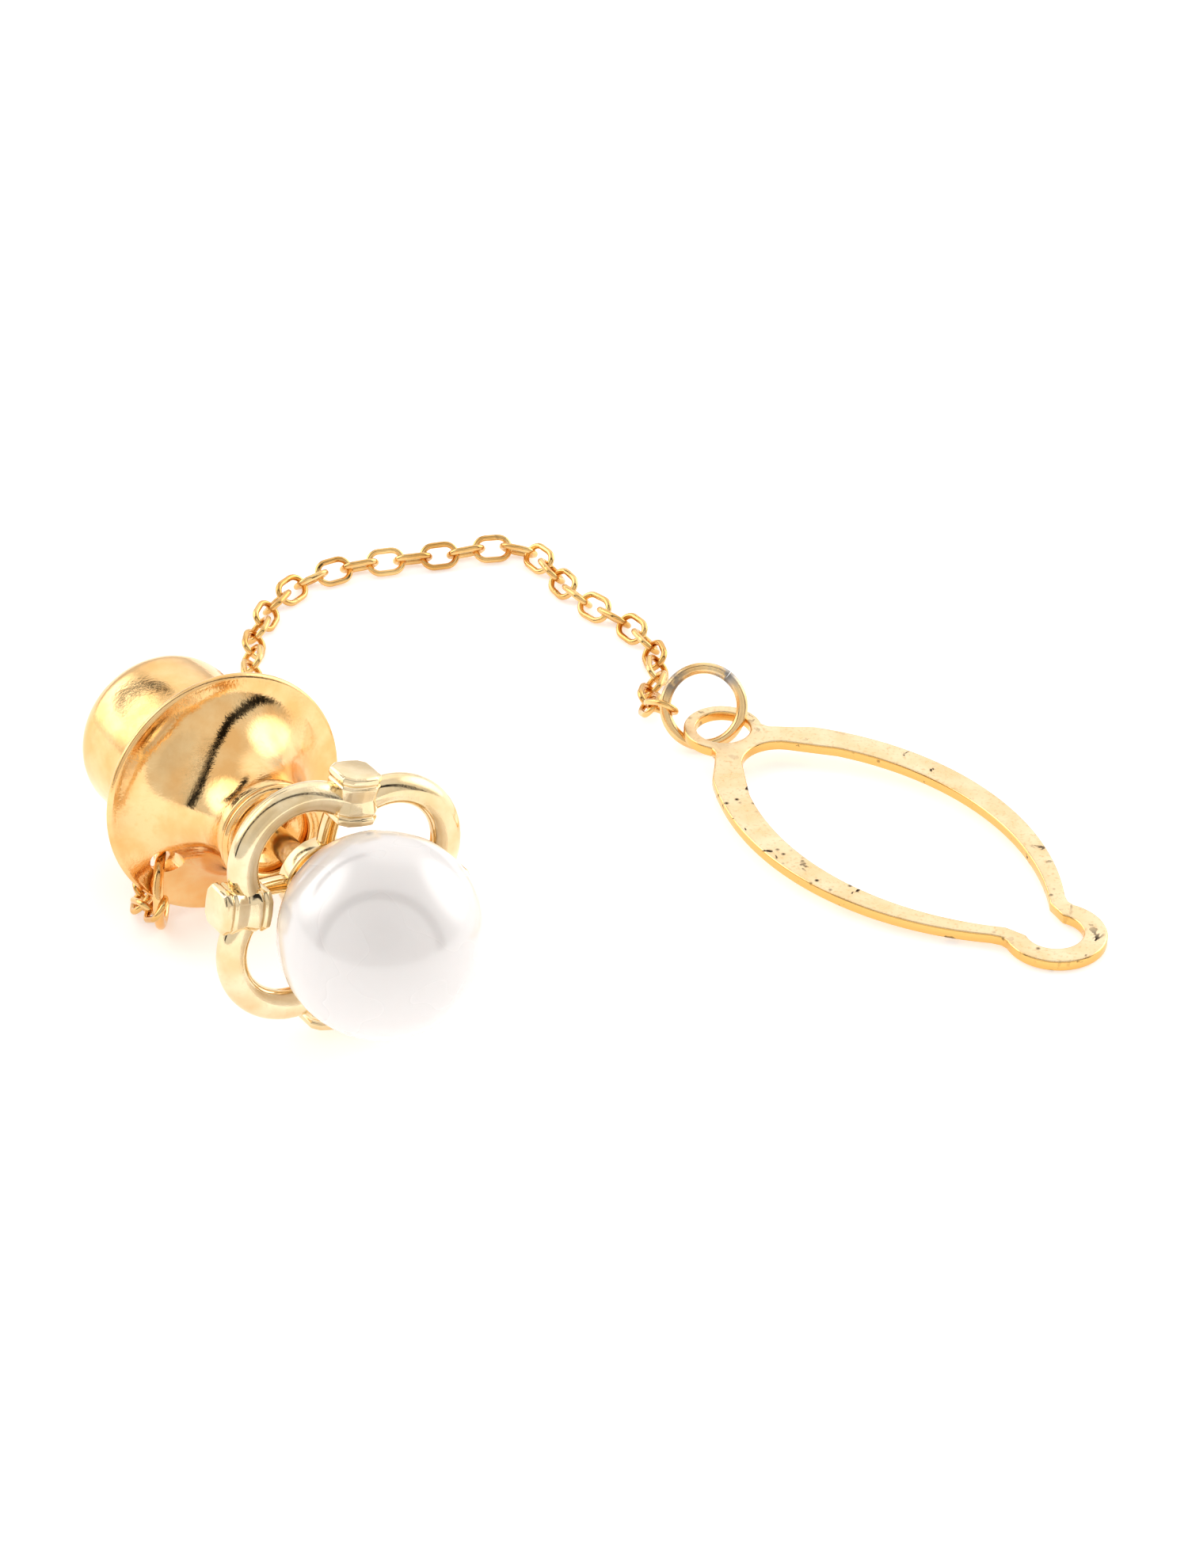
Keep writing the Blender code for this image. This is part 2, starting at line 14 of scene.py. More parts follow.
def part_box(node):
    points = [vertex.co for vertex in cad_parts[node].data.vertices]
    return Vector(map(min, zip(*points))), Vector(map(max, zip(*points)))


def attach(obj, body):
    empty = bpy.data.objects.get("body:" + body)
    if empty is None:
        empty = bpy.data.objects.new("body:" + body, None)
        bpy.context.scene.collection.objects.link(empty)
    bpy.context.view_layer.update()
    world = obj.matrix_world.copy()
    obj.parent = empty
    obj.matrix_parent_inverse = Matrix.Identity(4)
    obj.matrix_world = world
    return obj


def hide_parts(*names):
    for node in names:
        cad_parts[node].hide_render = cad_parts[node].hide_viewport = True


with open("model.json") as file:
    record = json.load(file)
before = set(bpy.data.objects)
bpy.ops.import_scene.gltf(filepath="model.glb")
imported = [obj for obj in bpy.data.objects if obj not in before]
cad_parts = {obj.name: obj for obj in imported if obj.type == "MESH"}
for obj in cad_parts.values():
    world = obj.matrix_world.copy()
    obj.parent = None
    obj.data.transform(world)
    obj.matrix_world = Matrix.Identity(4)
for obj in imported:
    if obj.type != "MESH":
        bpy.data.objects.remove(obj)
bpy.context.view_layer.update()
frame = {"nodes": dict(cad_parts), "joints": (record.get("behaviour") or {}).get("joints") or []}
MM = 0.001

# Clutch, with heights along its axis from the flange's rim towards the pearl
FLANGE_CENTRE_RADIUS = 4.62
FLANGE_EDGE = 0.18
HUB_RADIUS = 2.05
HUB_LENGTH = 3.95
MOUTH_ROUNDING = 0.12
MOUTH_BEVEL_RADIUS = 1.15
MOUTH_BEVEL_DEPTH = 0.45
FLARE_LENGTH = 3.50
BORE_RADIUS = 0.72
CAVITY_RADIUS = 1.95
CAVITY_TOP = 0.30
BORE_START = 0.90
SKIRT_RADIUS = 2.30
SKIRT_END = -3.20
HOLE_RADIUS = 0.55
HOLE_OFFSET = 3.36
HOLE_ANGLE = math.radians(214.0)
DRILL_REACH = 2.0
LIP_RADIUS = 1.78
LIP_RISE = 0.24
LIP_SIZE = (0.34, 0.21)
CAP_RADIUS = 3.30
CAP_WALL = 0.30
CAP_MOUTH = -0.75
CAP_MOUTH_RADIUS = 2.64
CAP_INSIDE_RADIUS = 2.40
CAP_INSIDE_END = -1.35
CAP_LIP = 0.04
CAP_SIDE_CENTRE = 0.62
CAP_WIDEST = -4.95
CAP_END = -7.02

# Tack head
PEARL_RADIUS = 3.80
PEARL_CENTRE = 12.75
PEARL_DRILLING = 0.42
DRILLING_END = 11.55
PEG_RADIUS = 0.36
PEG_END = 11.45
SEAT_RADIUS = 3.85
SEAT_ARC = (-83.5, -60.0)
CUP_LIP = ((0.08, 0.02), (0.12, -0.10))
CUP_BACK = 8.79
CUP_BACK_RADIUS = 1.10
FRAME_PLANE = 9.40
COLLAR_ANGLE = math.radians(78.4)
COLLAR_DISTANCE = 4.08
COLLAR_HALF_WIDTH = 0.81
COLLAR_HALF_HEIGHT = 0.875
COLLAR_CHAMFER = 0.30
COLLAR_RIDGE = 0.05
COLLAR_ROUNDING = 0.05
# Sections along a collar, as (distance from its middle, how large the section is)
COLLAR_STATIONS = ((-0.975, 0.84), (-0.90, 0.97), (-0.70, 1.00), (-0.64, 0.93), (-0.56, 0.93),
                   (-0.50, 0.99), (-0.36, 0.96), (0.0, 0.86), (0.36, 0.96), (0.50, 0.99),
                   (0.56, 0.93), (0.64, 0.93), (0.70, 1.00), (0.90, 0.97), (0.975, 0.84))
LOBE_OFFSET = 2.42
LOBE_RADIUS = 2.44
LOBE_SWEEP = 84.0
LOBE_HALF_STEPS = 24
BAR_RADIUS = 0.57
ARM_RADIUS = 0.36
ARM_CENTRE = (1.2, 9.9)
ARM_RADII = (3.1, 1.95)
ARM_ARC = (-90.0, -28.0)
FRAME_HUB_RADIUS = 1.50
FRAME_HUB_HOLE = 0.56
FRAME_HUB_FACES = (7.55, 8.35)
FRAME_HUB_ROUNDING = 0.10
POST_RADIUS = 0.50
POST_TOP = 8.30
POST_TIP = -2.90
GROOVE_TOPS = (-0.10, -1.05)
# A groove's section, as (radius, distance below its upper edge)
GROOVE = ((POST_RADIUS, 0.0), (0.44, 0.07), (0.38, 0.17), (0.38, 0.33), (0.44, 0.43),
          (POST_RADIUS, 0.50))
POINT = ((0.47, -1.72), (0.42, -1.95), (0.28, -2.36), (0.13, -2.75), (0.06, -2.87), (0.0, POST_TIP))

# Chain, rings and loop
LINK_COUNT = 47
LINK_WIRE = 0.26
LINK_WIRE_DRAWN = 0.25
LINK_WIDTH = 1.18
LINK_GAP = 0.035
LINK_LEAN = math.radians(45.0)
# Each ring as (radius of its wire's centre line, radius of the wire)
CLUTCH_RING = (1.38, 0.20)
CLUTCH_RING_HEADING = math.radians(-92.0)
LARGE_RING = (1.50, 0.225)
LARGE_RING_LEAN = math.radians(33.0)
RING_SEAM = math.radians(52.0)
SEAM_WIDTH = 0.008
RING_STEPS = 96
PLATE_THICKNESS = 0.44
PLATE_EDGE = 0.09
PLATE_HEADING = math.radians(-47.4)
PLATE_LENGTH = 20.0
EAR_RADIUS = 1.54
EAR_HOLE_RADIUS = 1.06
EAR_HEIGHT = 0.66
TIP_HEIGHT = 0.01
FLAP_POINT = -0.75

# The loop's upper half, each arc as (centre, radius, first angle, last angle)
EAR_ARC = ((0.0, 0.0), EAR_RADIUS, 180.0, 60.0)
NECK = [(1.06, 1.42), (1.60, 1.98)]
SIDE_ARC = ((8.95, -7.00), 11.80, 124.5, 49.6)
WAIST = [(16.96, 1.79)]
TIP_ARC = ((18.05, 0.0), 1.95, 114.0, 0.0)
EYE_NEAR_ARC = ((3.27, 0.0), 1.50, 180.0, 128.0)
EYE_SIDE_ARC = ((9.40, -7.65), 11.40, 118.5, 50.8)
EYE_TIP_ARC = ((17.98, 0.0), 1.10, 117.0, 0.0)
EAR_HOLE_ARC = ((0.0, 0.0), EAR_HOLE_RADIUS, 0.0, 355.0)

# Golds, as (light tone, deep tone, least and most roughness)
CLUTCH_GOLD = ((0.93, 0.63, 0.30), (0.86, 0.49, 0.18), (0.05, 0.11))
FRAME_GOLD = ((0.92, 0.76, 0.50), (0.80, 0.59, 0.31), (0.06, 0.12))
CHAIN_GOLD = ((0.90, 0.60, 0.25), (0.70, 0.38, 0.11), (0.08, 0.17))
RING_GOLD = ((0.93, 0.68, 0.35), (0.82, 0.52, 0.22), (0.12, 0.22))
# Worn and dark patches on the jump ring, as (degrees round it, radius in metres, colour)
RING_SPOTS = ((55.0, 0.0008, (0.46, 0.42, 0.38)), (140.0, 0.0008, (0.30, 0.24, 0.18)),
              (52.0, 0.0003, (0.10, 0.08, 0.06)))
TARNISH = (0.035, 0.018, 0.008, 1.0)
PLATE_TARNISH = (0.035, 0.016, 0.006, 1.0)

# Studio, in metres; each softbox as (name, place, size, power)
FLOOR_HALF_SIDE = 3.0
FLOOR_DROP = 0.00002
SOFTBOXES = (("left_box", (-0.34, -0.06, 0.22), (0.20, 0.22), 0.06),
             ("right_box", (0.34, -0.02, 0.24), (0.18, 0.22), 0.05),
             ("top_box", (0.02, 0.16, 0.42), (0.30, 0.20), 0.08))
CAMERA_TARGET = Vector((0.000074, 0.002652, 0.0))
CAMERA_DISTANCE = 0.260
CAMERA_ELEVATION = math.radians(33.0)
CAMERA_LENS = 154.1
CAMERA_SENSOR = 36.0
TENT_COLOUR = (1.0, 0.985, 0.965, 1.0)
GAP_DARKNESS = 0.985
FRONT_GAP_SLOPE = 0.18
FRONT_GAP_OFFSET = 0.37
# Steps of the tent's brightness, as (from, to, level before, level after)
SKY_STEP = (-0.1, 0.80, 0.82, 0.92)
LENS_STEP = (0.90, 0.97, 1.0, 0.86)
FRONT_GAP_STEP = (0.080, 0.105, 1.0, 0.0)
BACK_GAP_STEP = (0.070, 0.10, 1.0, 0.0)
BACK_GAP_SIDE_STEP = (-0.10, -0.28, 0.0, 1.0)
BACK_GAP_HEIGHT_STEP = (0.30, 0.45, 0.0, 1.0)
PATCH_EDGE = (0.84, 0.97)
# Bright patches of the tent, as (direction, how much brighter)
SOFT_PATCHES = (((-0.78, 0.38, 0.48), 2.0), ((0.80, 0.46, 0.34), 2.0),
                ((0.10, 0.80, 0.58), 0.45))

SMOOTH_ANGLE = math.radians(34.0)


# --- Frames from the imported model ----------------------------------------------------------

joints = {joint["name"]: joint for joint in frame["joints"]}


def box_centre(node):
    low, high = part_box(node)
    return (low + high) / 2


def tack_frame():
    """The clutch's frame: Z along the axis towards the pearl, origin at the flange's rim."""
    turn = joints["collet_turn"]
    axis = Vector(turn["axis"]).normalized()
    if axis.dot(box_centre("pearl") - box_centre("clutch_cap")) < 0:
        axis = -axis
    across = Vector((0, 0, 1)).cross(axis).normalized()
    matrix = Matrix((across, axis.cross(across), axis)).transposed().to_4x4()
    matrix.translation = Vector(turn["pos_m"])
    return matrix


def link_frame(start, end, number):
    """A link's frame between two hooking points, leaning alternately left and right."""
    along = (end - start).normalized()
    side = Vector((0, 0, 1)).cross(along).normalized()
    up = along.cross(side)
    lean = LINK_LEAN if number % 2 else -LINK_LEAN
    across = math.cos(lean) * up + math.sin(lean) * side
    matrix = Matrix((along, across.cross(along), across)).transposed().to_4x4()
    matrix.translation = start
    return matrix


def ring_frame():
    """The clutch ring stands upright on its heading."""
    outwards = Vector((math.cos(CLUTCH_RING_HEADING), math.sin(CLUTCH_RING_HEADING), 0.0))
    up = Vector((0, 0, 1))
    matrix = Matrix((outwards, up.cross(outwards), up)).transposed().to_4x4()
    matrix.translation = box_centre("clutch_ring")
    return matrix


def loop_frame():
    """The loop's plate: X from the ear to the tip, Z out of its upper face."""
    slope = math.asin((EAR_HEIGHT - TIP_HEIGHT) / PLATE_LENGTH)
    turn = Matrix.Rotation(PLATE_HEADING, 4, "Z") @ Matrix.Rotation(slope, 4, "Y")
    flap = Vector(joints["loop_flap"]["pos_m"])
    return Matrix.Translation(flap - turn @ Vector((FLAP_POINT * MM, 0.0, 0.0))) @ turn


# --- Mesh building ------------------------------------------------------------------------


def arc(centre, radii, start, end, steps):
    """Points on an elliptical arc, start and end included, with angles in degrees."""
    points = []
    for i in range(steps + 1):
        angle = math.radians(start + (end - start) * i / steps)
        points.append((centre[0] + radii[0] * math.cos(angle), centre[1] + radii[1] * math.sin(angle)))
    return points


def round_arc(shape, steps):
    """Points on a circular arc given as (centre, radius, first angle, last angle)."""
    centre, radius, start, end = shape
    return arc(centre, (radius, radius), start, end, steps)


def lathe(profile, segments, closed):
    """A lathe-turned solid about Z from (radius, height) points."""
    bm = bmesh.new()
    turn = [2 * math.pi * i / segments for i in range(segments)]
    rings = []
    for radius, height in profile:
        if radius < 1e-6:
            rings.append([bm.verts.new((0.0, 0.0, height))])
            continue
        ring = [(radius * math.cos(angle), radius * math.sin(angle), height) for angle in turn]
        rings.append([bm.verts.new(point) for point in ring])
    pairs = list(zip(rings, rings[1:]))
    if closed:
        pairs.append((rings[-1], rings[0]))
    for lower, upper in pairs:
        if len(lower) == 1 and len(upper) == 1:
            continue
        for i in range(segments):
            j = (i + 1) % segments
            corners = [lower[i % len(lower)], lower[j % len(lower)],
                       upper[j % len(upper)], upper[i % len(upper)]]
            bm.faces.new(list(dict.fromkeys(corners)))
    return bm


def swept(path, section, closed):
    """A bar along 3-D points with the given (across, up) section, closed or capped."""
    bm = bmesh.new()
    path = [Vector(p) for p in path]
    count = len(path)
    rings = []
    normal = None
    for i, point in enumerate(path):
        before = path[i - 1] if (closed or i > 0) else point
        after = path[(i + 1) % count] if (closed or i < count - 1) else point
        along = (after - before).normalized()
        if normal is None:
            normal = along.orthogonal().normalized()
        normal = (normal - along * normal.dot(along)).normalized()
        side = along.cross(normal)
        rings.append([bm.verts.new(point + x * normal + y * side) for x, y in section])
    pairs = list(zip(rings, rings[1:]))
    if closed:
        pairs.append((rings[-1], rings[0]))
    sides = len(section)
    for first, second in pairs:
        for k in range(sides):
            j = (k + 1) % sides
            bm.faces.new((first[k], first[j], second[j], second[k]))
    if not closed:
        bm.faces.new(rings[0][::-1])
        bm.faces.new(rings[-1])
    return bm


def circle_section(radius, sides):
    """The points of a round wire's section, without the first one again."""
    return arc((0.0, 0.0), (radius, radius), 0.0, 360.0 * (sides - 1) / sides, sides - 1)


def to_object(bm, name, matrix):
    """Takes a mesh from millimetres in its own frame to metres in the shared frame."""
    bmesh.ops.scale(bm, vec=(MM, MM, MM), verts=bm.verts)
    bmesh.ops.transform(bm, matrix=matrix, verts=bm.verts)
    bmesh.ops.recalc_face_normals(bm, faces=bm.faces)
    mesh = bpy.data.meshes.new(name)
    bm.to_mesh(mesh)
    bm.free()
    mesh.shade_smooth()
    mesh.set_sharp_from_angle(angle=SMOOTH_ANGLE)
    piece = bpy.data.objects.new(name, mesh)
    bpy.context.scene.collection.objects.link(piece)
    return piece


def fit(piece, material, body, node):
    """Gives a piece its finish, and makes it stand for a CAD node on that node's body."""
    piece.data.materials.clear()
    piece.data.materials.append(material)
    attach(piece, body)
    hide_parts(node)
    return piece


def combine(piece, others, operation):
    """Applies exact Booleans to a piece and removes the helper objects."""
    for other in others:
        step = piece.modifiers.new("solid", "BOOLEAN")
        step.operation = operation
        step.solver = "EXACT"
        step.object = other
        bpy.context.view_layer.update()
        evaluated = piece.evaluated_get(bpy.context.evaluated_depsgraph_get())
        mesh = bpy.data.meshes.new_from_object(evaluated)
        piece.modifiers.clear()
        piece.data = mesh
        bpy.data.objects.remove(other)
    piece.data.shade_smooth()
    piece.data.set_sharp_from_angle(angle=SMOOTH_ANGLE)


# --- Materials ----------------------------------------------------------------------------


class Shade:
    """A node material whose patterns stay fixed to the piece."""

    def __init__(self, name):
        self.material = bpy.data.materials.new(name)
        self.material.use_nodes = True
        self.tree = self.material.node_tree
        self.shader = self.tree.nodes["Principled BSDF"]
        self.coords = self.tree.nodes.new("ShaderNodeTexCoord").outputs["Object"]

    def node(self, kind, settings=None, **inputs):
        made = self.tree.nodes.new(kind)
        for key, value in (settings or {}).items():
            setattr(made, key, value)
        for key, value in inputs.items():
            self.feed(made, key.replace("_", " "), value)
        return made

    def feed(self, made, key, value):
        socket = made.inputs[key]
        if isinstance(value, bpy.types.NodeSocket):
            self.tree.links.new(value, socket)
        else:
            socket.default_value = value

    def noise(self, scale, detail=3.0, vector=None, distortion=0.0):
        made = self.node("ShaderNodeTexNoise", Scale=scale, Detail=detail, Distortion=distortion,
                         Vector=vector or self.coords)
        return made.outputs["Fac"]

    def stretched(self, rotation, scale):
        made = self.node("ShaderNodeMapping", Vector=self.coords, Rotation=rotation, Scale=scale)
        return made.outputs["Vector"]

    def ramp(self, value, *stops):
        """A smooth map through (position, level) stops."""
        made = self.node("ShaderNodeValToRGB", Fac=value)
        points = made.color_ramp.elements
        while len(points) < len(stops):
            points.new(0.5)
        for point, (position, level) in zip(points, stops):
            point.position = position
            point.color = (level, level, level, 1.0)
        return made.outputs["Color"]

    def math(self, operation, a, b=0.0):
        made = self.node("ShaderNodeMath", {"operation": operation})
        self.feed_index(made, 0, a)
        self.feed_index(made, 1, b)
        return made.outputs[0]

    def feed_index(self, made, index, value):
        if isinstance(value, bpy.types.NodeSocket):
            self.tree.links.new(value, made.inputs[index])
        else:
            made.inputs[index].default_value = value

    def scaled(self, value, factor, base):
        """The value times a factor, plus a base level."""
        made = self.math("MULTIPLY_ADD", value, factor)
        made.node.inputs[2].default_value = base
        return made

    def mix(self, factor, a, b):
        """A blend of two colours, which the node takes at its sockets 6 and 7."""
        made = self.node("ShaderNodeMix", {"data_type": "RGBA"})
        self.feed_index(made, 0, factor)
        self.feed_index(made, 6, a)
        self.feed_index(made, 7, b)
        return made.outputs[2]

    def near(self, point, radius):
        """One close to a point on the piece, falling to nothing at the radius."""
        away = self.node("ShaderNodeVectorMath", {"operation": "DISTANCE"})
        self.feed_index(away, 0, self.coords)
        self.feed_index(away, 1, point)
        made = self.node("ShaderNodeMapRange")
        self.feed_index(made, 0, away.outputs["Value"])
        self.feed_index(made, 1, radius)
        self.feed_index(made, 2, radius * 0.4)
        return made.outputs[0]

    def bump(self, height, distance, strength=1.0, normal=None):
        made = self.node("ShaderNodeBump", Height=height, Distance=distance, Strength=strength)
        if normal is not None:
            self.tree.links.new(normal, made.inputs["Normal"])
        return made.outputs["Normal"]

    def shade(self, key, value):
        self.feed(self.shader, key, value)


def gold(name, light, deep, rough, wave, scratch, grain=1.5e-6, pits=0.0, spots=()):
    """Polished plate with uneven tone, faint waviness, hairline scratches and dark pits.

    The wave is (pattern scale, height), scratch is how much rougher the hairlines are, and pits
    runs from none at 0 to many at 1.
    """
    s = Shade(name)
    tone = s.ramp(s.noise(700.0, 4.0), (0.36, 0.0), (0.64, 1.0))
    fine = s.noise(5200.0, 5.0)
    colour = s.mix(tone, (*deep, 1.0), (*light, 1.0))
    colour = s.mix(s.ramp(fine, (0.56, 0.0), (0.74, 0.35)), colour, (*deep, 1.0))
    one = s.noise(2600.0, 2.0, s.stretched((0.4, 0.9, 0.5), (1.0, 26.0, 1.0)))
    two = s.noise(2200.0, 2.0, s.stretched((1.1, 0.2, 2.1), (24.0, 1.0, 1.0)))
    hair = s.math("ADD", s.ramp(one, (0.485, 0.0), (0.50, 1.0), (0.515, 0.0)),
                  s.ramp(two, (0.487, 0.0), (0.50, 1.0), (0.513, 0.0)))
    hair = s.math("MULTIPLY", hair, s.ramp(s.noise(420.0, 2.0), (0.46, 0.0), (0.66, 1.0)))
    roughness = s.scaled(tone, rough[1] - rough[0], rough[0])
    roughness = s.math("ADD", roughness, s.math("MULTIPLY", hair, scratch))
    cells = s.node("ShaderNodeTexVoronoi", Vector=s.coords, Scale=2400.0).outputs["Distance"]
    pit = s.math("MULTIPLY", s.ramp(cells, (0.07, 1.0), (0.20, 0.0)),
                 s.ramp(s.noise(900.0, 5.0), (0.60 - 0.12 * pits, 0.0), (0.70 - 0.08 * pits, 1.0)))
    dirt = s.ramp(s.noise(1900.0, 6.0, distortion=0.4), (0.70 - 0.06 * pits, 0.0),
                  (0.78 - 0.06 * pits, 1.0))
    stain = s.math("MULTIPLY", s.math("MAXIMUM", pit, dirt), min(1.0, pits))
    colour = s.mix(stain, colour, TARNISH)
    roughness = s.math("ADD", roughness, s.math("MULTIPLY", stain, 0.4))
    metal = s.math("SUBTRACT", 1.0, s.math("MULTIPLY", stain, 0.7))
    for point, radius, tint in spots:
        patch = s.math("MULTIPLY", s.near(point, radius),
                       s.ramp(s.noise(2600.0, 4.0), (0.36, 0.0), (0.5, 1.0)))
        colour = s.mix(patch, colour, (*tint, 1.0))
        roughness = s.math("ADD", roughness, s.math("MULTIPLY", patch, 0.22))
    normal = s.bump(s.noise(wave[0], 2.0), wave[1])
    normal = s.bump(s.noise(9000.0, 4.0), grain, normal=normal)
    normal = s.bump(hair, -1.5e-6, 0.6, normal)
    if pits:
        normal = s.bump(stain, -1.2e-5, 0.8, normal)
    s.shade("Base Color", colour)
    s.shade("Roughness", roughness)
    s.shade("Metallic", metal)
    s.shade("Normal", normal)
    return s.material


def satin_loop(name, face_normal):
    """Rolled plate: satin faces, smoother edges tinted a deeper orange as painted shade, and scattered
    brown pits.
    """
    s = Shade(name)
    mottle = s.ramp(s.noise(900.0, 6.0), (0.35, 0.0), (0.68, 1.0))
    face = s.mix(mottle, (0.86, 0.62, 0.34, 1.0), (0.95, 0.78, 0.52, 1.0))
    face = s.mix(s.ramp(s.noise(7000.0, 4.0), (0.54, 0.0), (0.70, 0.55)), face, (0.70, 0.44, 0.19, 1.0))
    facing = s.node("ShaderNodeVectorMath", {"operation": "DOT_PRODUCT"})
    s.feed_index(facing, 0, s.coords.node.outputs["Normal"])
    s.feed_index(facing, 1, tuple(face_normal))
    flatness = s.math("ABSOLUTE", facing.outputs["Value"])
    # Painted shade: along the edges, where the surface turns away from the plate's faces, the colour goes
    # to a deeper orange; the same mask also makes the edges smoother.
    side = s.ramp(flatness, (0.55, 1.0), (0.97, 0.0))
    colour = s.mix(side, face, (0.88, 0.52, 0.16, 1.0))
    cells = s.node("ShaderNodeTexVoronoi", Vector=s.coords, Scale=1700.0, Randomness=1.0)
    specks = s.ramp(cells.outputs["Distance"], (0.06, 1.0), (0.19, 0.0))
    where = s.ramp(s.noise(330.0, 4.0), (0.50, 0.0), (0.62, 1.0))
    pit = s.math("MULTIPLY", specks, where)
    blot = s.ramp(s.noise(1300.0, 7.0, distortion=0.6), (0.64, 0.0), (0.67, 1.0))
    blot = s.math("MULTIPLY", blot, s.ramp(s.noise(260.0, 2.0), (0.44, 0.15), (0.58, 1.0)))
    stain = s.math("MAXIMUM", pit, blot)
    colour = s.mix(stain, colour, PLATE_TARNISH)
    lines = s.noise(1800.0, 3.0, s.stretched((0.0, 0.0, 0.82), (1.0, 34.0, 1.0)))
    hair = s.ramp(lines, (0.47, 0.0), (0.50, 1.0), (0.53, 0.0))
    roughness = s.scaled(mottle, 0.10, 0.27)
    roughness = s.math("ADD", roughness, s.math("MULTIPLY", hair, 0.08))
    roughness = s.math("SUBTRACT", roughness, s.math("MULTIPLY", side, 0.14))
    roughness = s.math("ADD", roughness, s.math("MULTIPLY", stain, 0.35))
    s.shade("Base Color", colour)
    s.shade("Roughness", roughness)
    s.shade("Metallic", s.math("SUBTRACT", 1.0, s.math("MULTIPLY", stain, 0.9)))
    s.shade("Specular IOR Level", 0.15)
    normal = s.bump(s.noise(1100.0, 3.0), 6e-6)
    normal = s.bump(s.noise(16000.0, 4.0), 1.6e-6, normal=normal)
    s.shade("Normal", s.bump(stain, -1.4e-5, 0.9, normal))
    return s.material


def nacre(name, axis):
    """White pearl with a faint pink overtone, cloudy depth, growth rings and small blemishes."""
    s = Shade(name)
    cloud = s.noise(260.0, 2.0)
    colour = s.mix(cloud, (0.75, 0.71, 0.69, 1.0), (0.79, 0.76, 0.745, 1.0))
    height = s.node("ShaderNodeVectorMath", {"operation": "DOT_PRODUCT"})
    s.feed_index(height, 0, s.coords)
    s.feed_index(height, 1, tuple(axis))
    bands = s.node("ShaderNodeTexNoise", {"noise_dimensions": "1D"}, Scale=2600.0, Detail=3.0)
    s.feed_index(bands, 1, height.outputs["Value"])
    colour = s.mix(s.math("MULTIPLY", bands.outputs["Fac"], 0.10), colour, (0.80, 0.70, 0.68, 1.0))
    blemish = s.ramp(s.noise(1400.0, 2.0), (0.80, 0.0), (0.86, 1.0))
    colour = s.mix(s.math("MULTIPLY", blemish, 0.5), colour, (0.62, 0.55, 0.50, 1.0))
    s.shade("Base Color", colour)
    s.shade("Roughness", s.scaled(cloud, 0.10, 0.22))
    s.shade("IOR", 1.75)
    s.shade("Subsurface Weight", 0.12)
    s.shade("Subsurface Radius", (0.0009, 0.0006, 0.0005))
    s.shade("Subsurface Scale", 1.0)
    s.shade("Coat Weight", 1.0)
    s.shade("Coat Roughness", 0.12)
    s.shade("Coat IOR", 1.85)
    s.shade("Sheen Weight", 0.12)
    s.shade("Sheen Tint", (1.0, 0.83, 0.80, 1.0))
    s.shade("Normal", s.bump(blemish, -1.2e-5, 0.8))
    return s.material


def drawn_steel(name):
    """Spring and collet steel with lengthwise drawing marks and a dull film in places."""
    s = Shade(name)
    film = s.ramp(s.noise(800.0, 4.0), (0.40, 0.0), (0.70, 1.0))
    s.shade("Base Color", s.mix(film, (0.62, 0.62, 0.63, 1.0), (0.42, 0.40, 0.38, 1.0)))
    marks = s.noise(3000.0, 3.0, s.stretched((0.0, 0.0, 0.5), (1.0, 20.0, 1.0)))
    s.shade("Roughness", s.scaled(marks, 0.25, 0.18))
    s.shade("Metallic", 1.0)
    s.shade("Normal", s.bump(marks, 3e-6, 0.7))
    return s.material


# --- Pieces -------------------------------------------------------------------------------


def clutch_housing(tack, material):
    """Flange, hub and skirt, with the keeper ring's hole through the flare."""
    flare = arc((FLANGE_CENTRE_RADIUS, FLARE_LENGTH),
                (FLANGE_CENTRE_RADIUS - HUB_RADIUS, FLARE_LENGTH - FLANGE_EDGE), 180.0, 270.0, 56)
    rim = arc((FLANGE_CENTRE_RADIUS, 0.0), (FLANGE_EDGE, FLANGE_EDGE), 90.0, -90.0, 14)
    mouth = arc((HUB_RADIUS - MOUTH_ROUNDING, HUB_LENGTH - MOUTH_ROUNDING),
                (MOUTH_ROUNDING, MOUTH_ROUNDING), 90.0, 0.0, 6)
    back = [(SKIRT_RADIUS, -FLANGE_EDGE), (SKIRT_RADIUS, SKIRT_END), (CAVITY_RADIUS, SKIRT_END),
            (CAVITY_RADIUS, CAVITY_TOP), (BORE_RADIUS, BORE_START),
            (BORE_RADIUS, HUB_LENGTH - MOUTH_BEVEL_DEPTH), (MOUTH_BEVEL_RADIUS, HUB_LENGTH)]
    piece = to_object(lathe(mouth + flare + rim[1:] + back, 216, True), "clutch_housing_fine", tack)
    offset = Vector((HOLE_OFFSET * math.cos(HOLE_ANGLE), HOLE_OFFSET * math.sin(HOLE_ANGLE), 0.0)) * MM
    drill = lathe([(0.0, -DRILL_REACH), (HOLE_RADIUS, -DRILL_REACH), (HOLE_RADIUS, DRILL_REACH),
                   (0.0, DRILL_REACH)], 64, False)
    cutter = to_object(drill, "ring_hole", tack @ Matrix.Translation(offset))
    combine(piece, [cutter], "DIFFERENCE")
    fit(piece, material, "clutch", "clutch_housing")


def mouth_ring(tack, material):
    """The rolled lip on the hub's mouth."""
    section = arc((LIP_RADIUS, HUB_LENGTH + LIP_RISE), LIP_SIZE, 0.0, 350.0, 35)
    piece = to_object(lathe(section, 160, True), "mouth_ring_fine", tack)
    fit(piece, material, "clutch", "mouth_ring")


